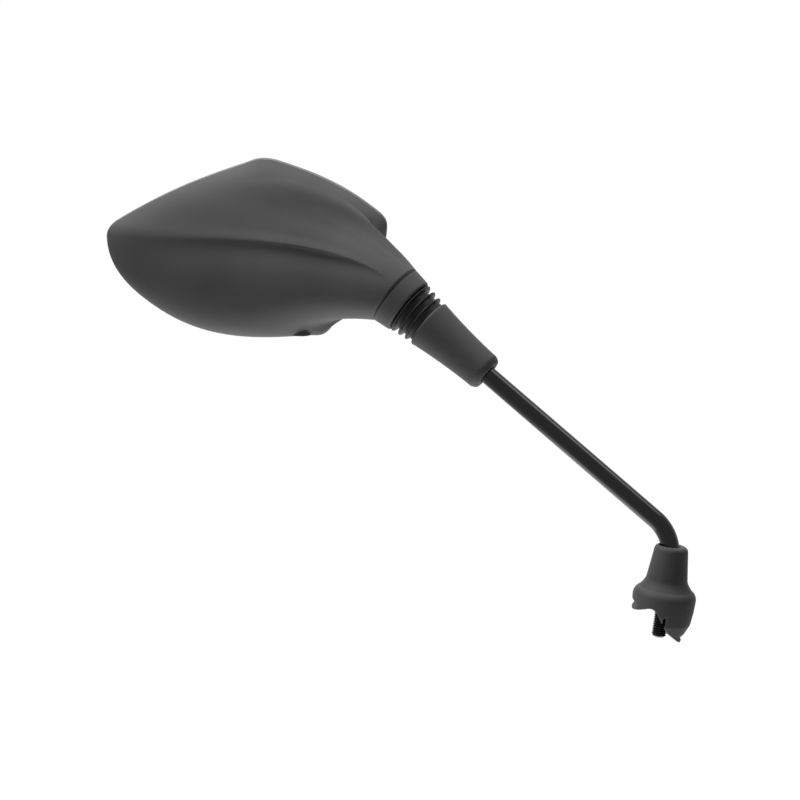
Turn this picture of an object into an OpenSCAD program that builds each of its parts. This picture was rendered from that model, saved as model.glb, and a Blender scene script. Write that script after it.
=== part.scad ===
// Right-hand motorcycle mirror: a bent steel stem with a threaded stud, a ball joint
// under a ribbed rubber boot, and a moulded head that holds a convex glass.
// Sizes are in millimetres. The origin is on the stud's axis at the seat, the lower face
// of the lock nut. +Z runs up along the stud, -X towards the head, +Y towards the rider.

/* [Stem and stud] */
// Diameter of the bent steel stem
stem_d = 10; // [9:0.5:11]
// Height of the bend's corner above the seat
bend_height = 36.5; // [34:0.5:50]
// Radius of the bend, at the stem's centre line
bend_radius = 23; // [18:1:30]
// Rise of the straight stem above the horizontal, in degrees
stem_rise = 30.4; // [24:0.2:40]
// Sweep of the straight stem towards the rider, in degrees
stem_sweep = 17.8; // [10:0.2:26]
// Length from the bend's corner to the centre of the ball
stem_length = 194.6; // [175:0.2:230]
// Diameter of the stud's thread
stud_d = 8; // [6:1:8]
// Free length of the stud below the lock nut
stud_length = 20; // [16:1:30]
// Diameter at which the thread is drawn inside the nut
thread_pitch_d = 7.2; // [5.2:0.1:7.2]
// Width across the flats of the lock nut
nut_flats = 13; // [12:0.5:14]
// Height of the lock nut
nut_height = 6.5; // [5:0.5:8]
// Length of thread that shows above the lock nut
thread_above_nut = 4; // [2:0.5:6]

/* [Ball joint] */
// Diameter of the ball at the stem's end
ball_d = 15; // [14:0.5:15.5]
// Diameter of the spigot that carries the ball
spigot_d = 8; // [7:0.25:8]
// Length of the spigot below the ball's centre
spigot_length = 10.5; // [10.5:0.5:14]
// Wall of the two nylon liners round the ball
liner_wall = 1.2; // [1:0.1:1.4]
// Running clearance on each side of a liner
liner_clearance = 0.05; // [0.03:0.01:0.08]
// Gap between the two liners
liner_gap = 2.2; // [1.8:0.1:3]
// Diameter of the bore that guides the pressure cup and the springs
cartridge_bore_d = 20; // [19.5:0.5:21]
// Clearance between the cartridge's bore and what slides or screws in it
cartridge_clearance = 0.1; // [0.05:0.05:0.2]
// Height of the top face of the pressure cup above the ball's centre
cup_top = 10.3; // [10:0.1:11]
// Diameter of the hole in the middle of the pressure cup
cup_hole_d = 5; // [3:0.5:6]
// Thickness of a disc spring
spring_thickness = 0.7; // [0.5:0.1:0.9]
// Height of a disc spring's cone
spring_cone = 0.45; // [0.3:0.05:0.6]
// Inner diameter of a disc spring
spring_inner_d = 8.2; // [7:0.2:10]
// Height of the preload nut
preload_height = 3.5; // [3:0.5:4]
// Width across the flats of the preload nut's hexagon socket
preload_socket = 10; // [8:0.5:12]

/* [Neck collar] */
// Diameter of the housing's neck at the seam
neck_d = 35.5; // [34.5:0.5:38]
// Height of the seam above the ball's centre
seam_height = 6.7; // [6:0.1:9]
// Gap that shows as the dark seam
seam_gap = 0.4; // [0.2:0.1:0.8]
// Height of the collar that shows below the seam
collar_height = 9.9; // [8:0.1:9.9]
// Diameter of the collar's lower edge
collar_low_d = 33.2; // [31:0.2:34]
// Radius of the collar's lower edge
collar_edge = 1.4; // [0.6:0.1:2]
// Diameter of the skirt that the ribbed boot clips over
skirt_d = 22; // [21.5:0.5:23]
// Length of that skirt
skirt_length = 4.2; // [3:0.2:4.4]
// Diameter of the throat that the spigot passes through
throat_d = 12.6; // [12.2:0.2:13]
// Diameter of the collar's threaded spigot inside the neck
collar_spigot_d = 25; // [24.6:0.2:26]
// Clearance between that spigot and the neck's bore
collar_fit = 0.2; // [0.1:0.05:0.4]

/* [Ribbed neck boot] */
// Number of thin ribs
rib_count = 3; // [2:1:4]
// Distance from the collar's lower edge to the first rib
rib_start = 1.5; // [1.3:0.1:2]
// Distance from one rib to the next
rib_pitch = 4.35; // [3.6:0.05:4.6]
// Thickness of a rib at its tip
rib_tip = 0.9; // [0.6:0.1:1.2]
// Thickness of a rib at its root
rib_root = 1.9; // [1.6:0.1:2.4]
// Diameter of the first rib
rib_first_d = 31.6; // [30:0.2:33]
// How much smaller each next rib is across
rib_step_d = 1.3; // [0:0.1:2]
// Diameter at the bottom of the grooves
groove_d = 25; // [24.5:0.25:26]
// Wall of the boot
neck_boot_wall = 1.3; // [1.0:0.1:1.6]
// Diameter of the tapered sleeve at its top
sleeve_top_d = 28.6; // [27:0.2:30]
// Diameter of the sleeve at its lower end
sleeve_low_d = 21.3; // [19:0.1:23]
// Length of the tapered sleeve
sleeve_length = 43.5; // [36:0.5:52]
// Length at the sleeve's lower end that grips the stem
sleeve_grip = 11; // [8:0.5:14]
// Slope length of the sleeve's lower edge
sleeve_bevel = 2.6; // [1.5:0.1:3.5]
// Clearance between a boot and the metal it grips
boot_fit = 0.1; // [0.05:0.05:0.2]

/* [Head] */
// Width of the head across the rim
head_w = 157; // [145:1:170]
// Height of the head across the rim
head_h = 101; // [94:1:110]
// Roll of the head about the line of sight, in degrees
head_roll = 7.5; // [4:0.5:11]
// Distance from the head's centre to the neck's seam, sideways
neck_side = 85.5; // [80:0.5:90]
// Drop from the head's centre to the neck's seam
neck_drop = 22.9; // [20:0.1:26]
// Distance from the rim's plane forward to the neck's seam
neck_front = 29; // [27:0.5:34]
// Depth of the straight band behind the rim
rim_depth = 7; // [5:0.5:9]
// Draft of that band, inward
band_draft = 0.3; // [0.1:0.1:0.6]
// Wall of the moulded housing
housing_wall = 2.4; // [2:0.1:3]
// Depth of the step below the crease
crease_depth = 6.5; // [3:0.5:8]
// Width of that step round the neck, in degrees
crease_width = 9; // [7:0.5:14]
// Angle round the neck over which the step fades out below
crease_reach = 140; // [110:5:170]

/* [Glass and its holder] */
// Radius of the convex glass
glass_radius = 1400; // [900:50:2000]
// Thickness of the glass
glass_thickness = 2; // [1.8:0.1:3]
// Depth of the glass's middle below the rim
glass_recess = 0.6; // [0.4:0.1:1.5]
// Width of the gasket round the glass
gasket_width = 1.6; // [1:0.1:2.2]
// Depth of the gasket
gasket_depth = 3.5; // [3:0.1:4]
// Clearance round the glass and the holder, inside what surrounds them
glass_clearance = 0.3; // [0.1:0.1:0.6]
// Thickness of the foam pad under the glass
foam_thickness = 1; // [0.8:0.1:1.5]
// Thickness of the glass holder
holder_thickness = 2.2; // [2:0.1:3]
// Distance from the housing's inner wall to the holder's edge
holder_inset = 4; // [3:0.5:6]

/* [Screws] */
// Diameter of the shanks of the holder's screws
screw_d = 3; // [2.5:0.25:3.5]
// Diameter of the screws' heads
screw_head_d = 6; // [5:0.25:7]
// Height of the screws' heads
screw_head_h = 1.8; // [1.4:0.1:2]
// Length of the holder's screws below the head
screw_length = 8; // [6:0.5:10]
// Length of the recessed lower screw below its head
rim_screw_length = 7; // [6:0.5:9]
// Clearance of a screw in its hole, across
screw_clearance = 0.3; // [0.2:0.05:0.5]
// Diameter of a boss
boss_d = 7.5; // [7:0.5:9]
// Place of the recessed lower screw, sideways from the head's centre
rim_screw_side = 32.5; // [28:0.5:36]
// Distance of the lower screw from the rim's plane
rim_screw_depth = 12; // [10.5:0.5:14]
// Diameter of the recess round the lower screw
recess_d = 7; // [6.6:0.2:8]

/* [Base boot] */
// Height of the boot's top above the seat
boot_top = 30.6; // [28:0.2:32]
// Depth of the boot's lower edge below the seat
boot_drop = 19.5; // [17:0.5:22]
// Diameter of the boot's neck at its top
boot_neck_top_d = 18.4; // [17:0.2:20]
// Diameter of the boot's neck at its foot
boot_neck_low_d = 22.2; // [21:0.2:24]
// Height of the neck's foot above the seat
boot_neck_foot = 11.5; // [9:0.5:14]
// Diameter across the shoulder
boot_shoulder_d = 34.4; // [33:0.2:37]
// Wall of the boot
boot_wall = 2.3; // [1.8:0.1:2.8]
// Radius of the boot's rounded top edge
boot_top_edge = 2.6; // [1.5:0.1:3]
// Thickness of the lip along the arch
lip_thickness = 1.9; // [1.5:0.1:2.4]
// How far the lip hangs below the boot's lower edge
lip_drop = 3; // [1:0.5:4]
// Rise of the arch's upper edge, in degrees
arch_rise = 27; // [15:1:32]
// Slope of the arch's long edge, in degrees below the horizontal
arch_slope = 57; // [50:1:64]
// Slope of the arch's foot, in degrees below the horizontal
arch_foot = 38; // [30:1:48]
// Radius of the arch's upper corner
arch_radius = 4.3; // [3:0.1:6]
// Length of the arch's long edge
arch_length = 12.4; // [10:0.5:14]
// Width of the small slot beside the arch
slot_w = 1.6; // [1.2:0.1:2.2]
// Length of the small slot
slot_h = 5.5; // [4:0.5:7]

/* [Hidden] */
$fn = 64;
overlap = 0.5;
seat_gap = 0.05;

// Directions and places along the stem
stem_dir = [
  -cos(stem_rise) * cos(stem_sweep),
  cos(stem_rise) * sin(stem_sweep),
  sin(stem_rise)
];
bend_angle = 90 - stem_rise;
bend_tangent = bend_radius * tan(bend_angle / 2);
bend_start = bend_height - bend_tangent;
bend_out = [-cos(stem_sweep), sin(stem_sweep), 0];
thread_top = nut_height + thread_above_nut;
nut_mouth_depth = 0.8;
thread_fit = 0.1;
ball_centre = [0, 0, bend_height] + stem_length * stem_dir;

// Sizes of the ball joint, measured from the ball's centre towards the head
ball_r = ball_d / 2;
spigot_top = 2;
liner_inner = ball_r + liner_clearance;
liner_outer = liner_inner + liner_wall;
seat_r = liner_outer + liner_clearance;
bore_r = cartridge_bore_d / 2;
spring_outer = bore_r - 3 * cartridge_clearance;
spring_height = spring_thickness + spring_cone;
spring_count = 2;
cartridge_rim = 0.4;
preload_low = cup_top + spring_count * spring_height;
cartridge_top = preload_low + preload_height + cartridge_rim;
collar_low = seam_height - collar_height;
skirt_low = collar_low - skirt_length;
liner_low = -5;
cup_low = 0.8;
socket_r = (collar_spigot_d + collar_fit) / 2;
socket_wall = 1.8;
bore_turn = 4;
socket_length = cartridge_top - seam_height - overlap;

// Sizes of the ribbed boot
clip_gap = 0.3;
boot_start = collar_low - clip_gap;
rib_centres = [for (i = [0:rib_count - 1]) collar_low - rib_start - i * rib_pitch];
sleeve_lift = 0.4;
sleeve_start = collar_low - rib_start - rib_count * rib_pitch + sleeve_lift;
sleeve_end = sleeve_start - sleeve_length;
boot_inner = skirt_d / 2 + boot_fit;

// Small helpers
function unit(v) = v / norm(v);
function smooth(t) = 0.5 * t + 0.5 * t * t * (3 - 2 * t);
function bezier(t, a, b, c, d) =
  pow(1 - t, 3) * a + 3 * pow(1 - t, 2) * t * b + 3 * (1 - t) * t * t * c + t * t * t * d;
function arc(centre, r, from, to, steps = 8) =
  [for (i = [0:steps]) let (a = from + (to - from) * i / steps) centre + r * [cos(a), sin(a)]];
function limit(x, low, high) = min(max(x, low), high);

// The head's own frame: X across the rim, Z up the head, the rim in the plane Y = 0
seam_local = [neck_side, -neck_front, -neck_drop];
function to_head(v) = [
  v[0] * cos(head_roll) + v[2] * sin(head_roll),
  v[1],
  -v[0] * sin(head_roll) + v[2] * cos(head_roll)
];
function from_head(v) = [
  v[0] * cos(head_roll) - v[2] * sin(head_roll),
  v[1],
  v[0] * sin(head_roll) + v[2] * cos(head_roll)
];
neck_dir = to_head(stem_dir);
head_origin = ball_centre + seam_height * stem_dir - from_head(seam_local);
neck_face = unit([0, -1, 0] + neck_dir[1] * neck_dir);
neck_across = cross(neck_dir, neck_face);
neck_turn = atan2(neck_dir[1], neck_dir[0]);
neck_tip = acos(neck_dir[2]);

// The rim, clockwise from the outer tip. Each row: place across and up as a share of the
// head's width and height, heading of the rim in degrees, angle round the neck that the
// wall runs to, how far the wall stands forward, how much it leans inward, how long it
// follows the neck, and how much it flares out from the neck on the way
rim = [
  [-0.486, 0.074, 90, 22, 20, 0.68, 56, 0.00],
  [-0.422, 0.182, 30, 34, 20, 0.70, 58, 0.00],
  [0.000, 0.469, 18, 62, 18, 0.60, 58, 0.00],
  [0.072, 0.499, 0, 68, 19, 0.54, 56, 0.00],
  [0.135, 0.482, -18, 75, 20, 0.46, 52, 0.00],
  [0.464, 0.226, -38, 102, 24, 0.24, 34, 0.22],
  [0.512, 0.126, -90, 114, 22, 0.06, 20, 0.36],
  [0.441, -0.201, -112, 150, 4, 0.00, 7, 0.00],
  [0.332, -0.396, -120, 196, 6, 0.00, 8, 0.40],
  [0.262, -0.484, -180, 238, 14, 0.00, 24, 0.60],
  [0.066, -0.494, -180, 276, 24, 0.05, 34, 0.70],
  [-0.332, -0.305, -216, 338, 26, 0.20, 44, 0.20]
];
rim_handle = 0.37;
rim_points = 64;
crease_angle = rim[0][3];
crease_full = 0.7;
skin_rows = 22;
row_growth = 1.25;

function rim_place(i) = [rim[i % len(rim)][0] * head_w, rim[i % len(rim)][1] * head_h];
function rim_heading(i) = [cos(rim[i % len(rim)][2]), sin(rim[i % len(rim)][2])];
function rim_shape(i) = [for (c = [3:7]) rim[i % len(rim)][c] + (i == len(rim) && c == 3 ? 360 : 0)];
function rim_span(i) = norm(rim_place(i + 1) - rim_place(i));
function span_total(i = 0) = i == len(rim) ? 0 : rim_span(i) + span_total(i + 1);
rim_length = span_total();

// Every point of the rim: [[across, up], [neck angle, forward, lean, follow, flare]]
rim_loop = [
  for (i = [0:len(rim) - 1])
    let (
      a = rim_place(i),
      d = rim_place(i + 1),
      h = rim_handle * norm(d - a),
      n = max(3, round(rim_span(i) / rim_length * rim_points))
    )
    for (s = [0:n - 1])
      let (t = s / n)
      [
        bezier(t, a, a + h * rim_heading(i), d - h * rim_heading(i + 1), d),
        rim_shape(i) + smooth(t) * (rim_shape(i + 1) - rim_shape(i))
      ]
];
meridians = len(rim_loop);
function at(i) = (i + meridians) % meridians;
rim_inward = [
  for (i = [0:meridians - 1])
    let (v = unit(rim_loop[at(i + 1)][0] - rim_loop[at(i - 1)][0])) [v[1], -v[0]]
];
function rim_outline(inset) = [for (i = [0:meridians - 1]) rim_loop[i][0] + inset * rim_inward[i]];

// One row of the housing's outer skin, from the band behind the rim (0) to the neck (1)
function in_head(p, y = 0) = [p[0], y, p[1]];
function crease_step(angle, t) =
  let (
    over = (angle - crease_angle + 540) % 360 - 180,
    below = max(-over, 0),
    fade = max(1 - below / crease_reach, 0),
    along = limit(t / crease_full, 0, 1) * limit((1 - t) / (1 - crease_full), 0, 1)
  )
  crease_depth * along * along * (3 - 2 * along) * (1 - exp(-below / crease_width)) * fade;
function skin_point(i, t) =
  let (
    p = rim_loop[i][0],
    inward = rim_inward[i],
    shape = rim_loop[i][1],
    lean = shape[2],
    a = in_head(p + band_draft * inward, -rim_depth),
    b = a + shape[1] * (in_head(lean * inward) - [0, sqrt(1 - lean * lean), 0]),
    out = cos(shape[0]) * neck_face + sin(shape[0]) * neck_across,
    d = seam_local + neck_d / 2 * out,
    c = d + shape[3] * (neck_dir + shape[4] * out)
  )
  bezier(t, a, b, c, d) + [0, crease_step(shape[0], t), 0];
outer_skin = concat(
  [[for (i = [0:meridians - 1]) in_head(rim_loop[i][0])]],
  [[for (i = [0:meridians - 1]) in_head(rim_loop[i][0] + band_draft / 2 * rim_inward[i], -rim_depth / 2)]],
  [for (k = [0:skin_rows]) [for (i = [0:meridians - 1]) skin_point(i, pow(k / skin_rows, row_growth))]]
);
last_row = len(outer_skin) - 1;

// The inner skin: the outer one moved in by the wall along its own normals
function skin_normal(k, i) = unit(cross(
  outer_skin[k][at(i + 1)] - outer_skin[k][at(i - 1)],
  outer_skin[min(k + 1, last_row)][i] - outer_skin[max(k - 1, 0)][i]
));
inner_rows = [for (k = [2:2:last_row - 1]) k];
inner_skin = concat(
  [[for (i = [0:meridians - 1]) in_head(rim_loop[i][0] + housing_wall * rim_inward[i])]],
  [for (k = inner_rows) [for (i = [0:meridians - 1]) outer_skin[k][i] + housing_wall * skin_normal(k, i)]],
  [[
    for (i = [0:meridians - 1])
      let (angle = rim_loop[i][1][0])
      seam_local + (socket_r - overlap) * (cos(angle) * neck_face + sin(angle) * neck_across)
  ]]
);

// A closed tube of rows of points: rows run round, and the last row joins the first
module ring_solid(rows) {
  count = len(rows);
  polyhedron(
    points = [for (row = rows) each row],
    faces = [
      for (k = [0:count - 1])
        for (i = [0:meridians - 1])
          let (
            a = k * meridians + i,
            b = k * meridians + at(i + 1),
            c = ((k + 1) % count) * meridians + at(i + 1),
            d = ((k + 1) % count) * meridians + i
          )
          each [[a, b, c], [a, c, d]]
    ],
    convexity = 6
  );
}

// The head's full outer volume, closed flat at the rim and at the neck
module head_volume() {
  rows = outer_skin;
  count = len(rows);
  polyhedron(
    points = [for (row = rows) each row],
    faces = concat(
      [
        for (k = [0:count - 2])
          for (i = [0:meridians - 1])
            let (
              a = k * meridians + i,
              b = k * meridians + at(i + 1),
              c = (k + 1) * meridians + at(i + 1),
              d = (k + 1) * meridians + i
            )
            each [[a, b, c], [a, c, d]]
      ],
      [[for (i = [meridians - 1:-1:0]) i]],
      [[for (i = [0:meridians - 1]) (count - 1) * meridians + i]]
    ),
    convexity = 6
  );
}

// Placing
module at_ball() {
  translate(ball_centre)
    rotate([0, 90 - stem_rise, 180 - stem_sweep])
      children();
}
module at_head() {
  translate(head_origin)
    rotate([0, -head_roll, 0])
      children();
}

// Stem and stud. The rod is one sweep: up the stud's axis, round the bend, then straight
rod_sides = 48;
bend_steps = 14;
function bend_place(angle) =
  [0, 0, bend_start] + bend_radius * ((1 - cos(angle)) * bend_out + [0, 0, sin(angle)]);
function bend_heading(angle) = sin(angle) * bend_out + [0, 0, cos(angle)];
rod_places = concat(
  [[0, 0, thread_top]],
  [for (i = [0:bend_steps]) bend_place(bend_angle * i / bend_steps)],
  [ball_centre - spigot_length * stem_dir]
);
rod_headings = concat(
  [[0, 0, 1]],
  [for (i = [0:bend_steps]) bend_heading(bend_angle * i / bend_steps)],
  [stem_dir]
);
module rod() {
  r = stem_d / 2;
  side = cross([0, 0, 1], bend_out);
  count = len(rod_places);
  polyhedron(
    points = [
      for (k = [0:count - 1])
        let (up = cross(rod_headings[k], side))
        for (i = [0:rod_sides - 1])
          rod_places[k] + r * (cos(360 * i / rod_sides) * side + sin(360 * i / rod_sides) * up)
    ],
    faces = concat(
      [
        for (k = [0:count - 2])
          for (i = [0:rod_sides - 1])
            let (
              a = k * rod_sides + i,
              b = k * rod_sides + (i + 1) % rod_sides
            )
            [a, a + rod_sides, b + rod_sides, b]
      ],
      [[for (i = [0:rod_sides - 1]) i]],
      [[for (i = [rod_sides - 1:-1:0]) (count - 1) * rod_sides + i]]
    )
  );
}
module stem() {
  chamfer = 1;
  color("#141416") {
    rod();
    at_ball()
      translate([0, 0, -spigot_length - overlap])
        cylinder(h = spigot_length + overlap + spigot_top, d = spigot_d);
    translate([0, 0, -stud_length])
      cylinder(h = chamfer, d1 = stud_d - 2 * chamfer, d2 = stud_d);
    translate([0, 0, chamfer - stud_length])
      cylinder(h = stud_length - chamfer, d = stud_d);
    cylinder(h = nut_height, d = thread_pitch_d);
    translate([0, 0, nut_height])
      cylinder(h = thread_above_nut + overlap, d = stud_d);
  }
}
module ball() {
  color("#b9bbbe")
    at_ball()
      difference() {
        sphere(d = ball_d);
        translate([0, 0, -ball_d])
          cylinder(h = ball_d + spigot_top, d = spigot_d);
      }
}
module lock_nut() {
  corner_d = nut_flats / cos(30);
  edge = 0.8;
  face_edge = 0.2;
  room = 0.1;
  color("#3a3b3e")
    difference() {
      intersection() {
        cylinder(h = nut_height, d = corner_d, $fn = 6);
        rotate_extrude()
          polygon([
            [0, 0],
            [nut_flats / 2 - face_edge, 0],
            [corner_d / 2 + room, edge],
            [corner_d / 2 + room, nut_height - edge],
            [nut_flats / 2 - face_edge, nut_height],
            [0, nut_height]
          ]);
      }
      translate([0, 0, -overlap])
        cylinder(h = nut_height + 2 * overlap, d = thread_pitch_d + thread_fit);
      translate([0, 0, -nut_mouth_depth])
        cylinder(h = 2 * nut_mouth_depth, d1 = stud_d + 2 * nut_mouth_depth, d2 = thread_pitch_d);
    }
}

// Ball joint
module liner_ring(low, high) {
  difference() {
    intersection() {
      sphere(r = liner_outer);
      translate([0, 0, low])
        cylinder(h = high - low, r = liner_outer + overlap);
    }
    sphere(r = liner_inner);
  }
}
module lower_liner() {
  color("#e4e2d8")
    at_ball()
      liner_ring(liner_low, -liner_gap / 2);
}
module upper_liner() {
  color("#e4e2d8")
    at_ball()
      liner_ring(liner_gap / 2, -liner_low);
}
module neck_collar() {
  flange_top = seam_height - seam_gap;
  color("#2c2c2e")
    at_ball()
      difference() {
        rotate_extrude()
          polygon(concat(
            [[0, skirt_low], [skirt_d / 2, skirt_low], [skirt_d / 2, collar_low]],
            arc([collar_low_d / 2 - collar_edge, collar_low + collar_edge], collar_edge, -90, -10, 6),
            [
              [neck_d / 2, flange_top],
              [collar_spigot_d / 2, flange_top],
              [collar_spigot_d / 2, cartridge_top],
              [0, cartridge_top]
            ]
          ));
        sphere(r = seat_r);
        cylinder(h = cartridge_top + overlap, r = bore_r);
        translate([0, 0, skirt_low - overlap])
          cylinder(h = -skirt_low + overlap, d = throat_d);
      }
}
module pressure_cup() {
  color("#8f9195")
    at_ball()
      difference() {
        translate([0, 0, cup_low])
          cylinder(h = cup_top - cup_low, r = bore_r - cartridge_clearance);
        sphere(r = seat_r);
        cylinder(h = cup_top + overlap, d = cup_hole_d);
      }
}
// Disc springs stand edge to edge, each one turned over against the last
module disc_spring(i) {
  low_inner = i % 2 == 0 ? spring_cone : 0;
  low_outer = spring_cone - low_inner;
  color("#a7a9ad")
    at_ball()
      translate([0, 0, cup_top + i * spring_height])
        rotate_extrude()
          polygon([
            [spring_inner_d / 2, low_inner],
            [spring_outer, low_outer],
            [spring_outer, low_outer + spring_thickness],
            [spring_inner_d / 2, low_inner + spring_thickness]
          ]);
}
module preload_nut() {
  color("#7d7f83")
    at_ball()
      translate([0, 0, preload_low])
        difference() {
          cylinder(h = preload_height, r = bore_r - cartridge_clearance);
          translate([0, 0, -overlap])
            cylinder(h = preload_height + 2 * overlap, d = preload_socket / cos(30), $fn = 6);
        }
}

// Ribbed neck boot: thin ribs, then a tapered sleeve that grips the stem
function rib_profile(i) =
  let (
    z = rib_centres[i],
    r = (rib_first_d - i * rib_step_d) / 2,
    root = groove_d / 2
  )
  concat(
    [[root, z + rib_root / 2]],
    arc([r - rib_tip / 2, z], rib_tip / 2, 80, -80, 6),
    [[root, z - rib_root / 2]]
  );
sleeve_curve = 1.75;
sleeve_steps = 11;
function sleeve_r(s) = (sleeve_low_d + (sleeve_top_d - sleeve_low_d) * pow(1 - s, sleeve_curve)) / 2;
module neck_boot() {
  grip_r = stem_d / 2 + boot_fit;
  edge = 1;
  tip_edge = 0.5;
  tip_r = sleeve_low_d / 2 - 2.2;
  cavity_slope = 2;
  cavity_end = sleeve_end + sleeve_grip;
  color("#1d1d1f")
    at_ball()
      rotate_extrude()
        polygon(concat(
          [[boot_inner, boot_start], [groove_d / 2, boot_start]],
          [for (i = [0:rib_count - 1]) each rib_profile(i)],
          [[groove_d / 2, sleeve_start]],
          arc([sleeve_r(0) - edge, sleeve_start - edge], edge, 85, 10, 5),
          [
            for (k = [1:sleeve_steps - 1])
              [sleeve_r(k / sleeve_steps), sleeve_start - k / sleeve_steps * sleeve_length]
          ],
          [
            [sleeve_low_d / 2, sleeve_end + sleeve_bevel],
            [tip_r + 2 * tip_edge, sleeve_end + tip_edge],
            [tip_r, sleeve_end],
            [grip_r, sleeve_end],
            [grip_r, cavity_end],
            [sleeve_low_d / 2 - 2 * neck_boot_wall, cavity_end + cavity_slope],
            [boot_inner, sleeve_start - edge],
            [boot_inner, boot_start]
          ]
        ));
}

// Base boot: a cone on the stem over a shoulder that hangs round the perch
// The skirt and its cavity. Each row: how far inside the shoulder's radius, and how high
// above the boot's lower edge
skirt_rows = [[6.2, 0], [3.6, 3.2], [1.2, 8.5], [0.3, 15.5]];
skirt_edge = 5.5;
skirt_top = 21.7;
cavity_rows = [[3.4, 3.8], [1, 8.9], [0.2, 19.9], [2.6, 23.3]];
cavity_mouth = 5.4;
cavity_foot = 6.6;
cavity_head = 15;
cavity_top = 18.5;
cavity_taper = 0.4;
// The fillet between neck and shoulder. Each row: how far outside the neck, and its height
// above the neck's foot
fillet_rows = [[1.3, -1.9], [0.3, 0], [0, 1.5]];
module boot_outline() {
  neck_low = boot_neck_low_d / 2;
  neck_top = boot_neck_top_d / 2;
  shoulder = boot_shoulder_d / 2;
  polygon(concat(
    [[0, -boot_drop]],
    [for (row = skirt_rows) [shoulder - row[0], row[1] - boot_drop]],
    arc([shoulder - skirt_edge, skirt_top - boot_drop], skirt_edge, 0, 62, 6),
    [for (row = fillet_rows) [neck_low + row[0], boot_neck_foot + row[1]]],
    arc([neck_top - boot_top_edge, boot_top - boot_top_edge], boot_top_edge, 5, 90, 6),
    [[0, boot_top]]
  ));
}
module boot_cavity() {
  neck_inner = boot_neck_low_d / 2 - boot_wall;
  shoulder = boot_shoulder_d / 2 - boot_wall;
  mouth = -boot_drop - lip_drop - overlap;
  rotate_extrude()
    polygon(concat(
      [[0, mouth], [shoulder - cavity_mouth, mouth]],
      [for (row = cavity_rows) [shoulder - row[0], row[1] - boot_drop]],
      [
        [neck_inner, cavity_foot],
        [neck_inner - cavity_taper, cavity_head],
        [stem_d / 2 + boot_fit, cavity_top],
        [0, cavity_top]
      ]
    ));
}
// The bore that grips the stem: upright, then leaning with the start of the bend
module boot_bore() {
  inner_bend = bend_radius - stem_d / 2;
  beyond = 1;
  seam_turn = 130;
  mouth_turn = asin(limit((boot_top + beyond - bend_start) / inner_bend, 0.05, 0.9));
  reach = bend_radius * sin(mouth_turn / 2);
  bend_room = bend_radius * (1 - cos(mouth_turn / 2)) / 2;
  cylinder(h = bend_start + beyond, r = stem_d / 2 + boot_fit);
  translate(bend_place(mouth_turn / 2))
    rotate([0, mouth_turn / 2, 180 - stem_sweep])
      translate([bend_room, 0, -reach])
        rotate(seam_turn)
          cylinder(h = 2 * (reach + beyond), r = stem_d / 2 + boot_fit + bend_room);
}
// The arch's edge: a rise from the left, a round corner, the long slope and the foot
arch_centre = [-7.6, -6.6];
arch_reach = 16;
arch_clear = 60;
function arch_line(grow) =
  let (
    r = arch_radius + grow,
    left = arch_centre + r * [-sin(arch_rise), cos(arch_rise)],
    right = arch_centre + r * [sin(arch_slope), cos(arch_slope)],
    knee = right + arch_length * [cos(arch_slope), -sin(arch_slope)]
  )
  concat(
    [left - 2 * arch_reach * [cos(arch_rise), sin(arch_rise)]],
    arc(arch_centre, r, 90 + arch_rise, 90 - arch_slope, 8),
    [knee, knee + arch_reach * [cos(arch_foot), -sin(arch_foot)]]
  );
module arch_cut(grow) {
  edge = arch_line(grow);
  end = edge[len(edge) - 1];
  translate([0, boot_shoulder_d, 0])
    rotate([90, 0, 0])
      linear_extrude(2 * boot_shoulder_d)
        polygon(concat(edge, [[end[0], -arch_clear], [edge[0][0], -arch_clear]]));
}
lip_top = -4;
lip_inset = [5.5, 0.5];
hollow_r = 1.8;
hollow_inset = 0.6;
hollow_height = -3;
slot_place = [0.4, -8.6];
slot_depth = 6;
module base_boot() {
  color("#1b1b1d")
    difference() {
      union() {
        rotate_extrude()
          boot_outline();
        // The lip along the arch
        intersection() {
          difference() {
            arch_cut(lip_thickness);
            arch_cut(0);
          }
          translate([0, 0, -boot_drop - lip_drop])
            cylinder(
              h = boot_drop + lip_drop + lip_top,
              r1 = boot_shoulder_d / 2 - lip_inset[0],
              r2 = boot_shoulder_d / 2 - lip_inset[1]
            );
        }
      }
      // The hollow over the lip's outer end
      translate([hollow_inset - boot_shoulder_d / 2, boot_shoulder_d, hollow_height])
        rotate([90, 0, 0])
          cylinder(h = 2 * boot_shoulder_d, r = hollow_r);
      boot_cavity();
      arch_cut(0);
      boot_bore();
      // The small slot through the near wall
      translate([slot_place[0], -boot_shoulder_d / 2 - overlap, slot_place[1]])
        rotate([-90, 0, 0])
          linear_extrude(slot_depth)
            polygon(concat(
              arc([0, (slot_h - slot_w) / 2], slot_w / 2, 0, 180),
              arc([0, -(slot_h - slot_w) / 2], slot_w / 2, 180, 360)
            ));
    }
}

// Housing
function sag(r, radius) = radius - sqrt(radius * radius - r * r);
glass_top = -glass_recess;
foam_top = glass_top - glass_thickness;
holder_top = foam_top - foam_thickness;
plate_reach = 0.62 * head_w;
plate_room = 20;
head_sink = screw_head_h + 5 * seat_gap;
pad_floor = 1.6;
pad_d = screw_head_d + 3;
boss_face = holder_top - head_sink - pad_floor - seat_gap;
post_length = 60;
gusset_foot = 4;
gusset_head = 12;
gusset_reach = 6;
gusset_width = 1.4;
screw_shares = [[-0.29, -0.02], [0.13, 0.26], [0.04, -0.33]];
screw_places = [for (s = screw_shares) [s[0] * head_w, s[1] * head_h]];
hole_room = 2;
function face_drop(p) = sag(norm(p), glass_radius);

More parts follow.
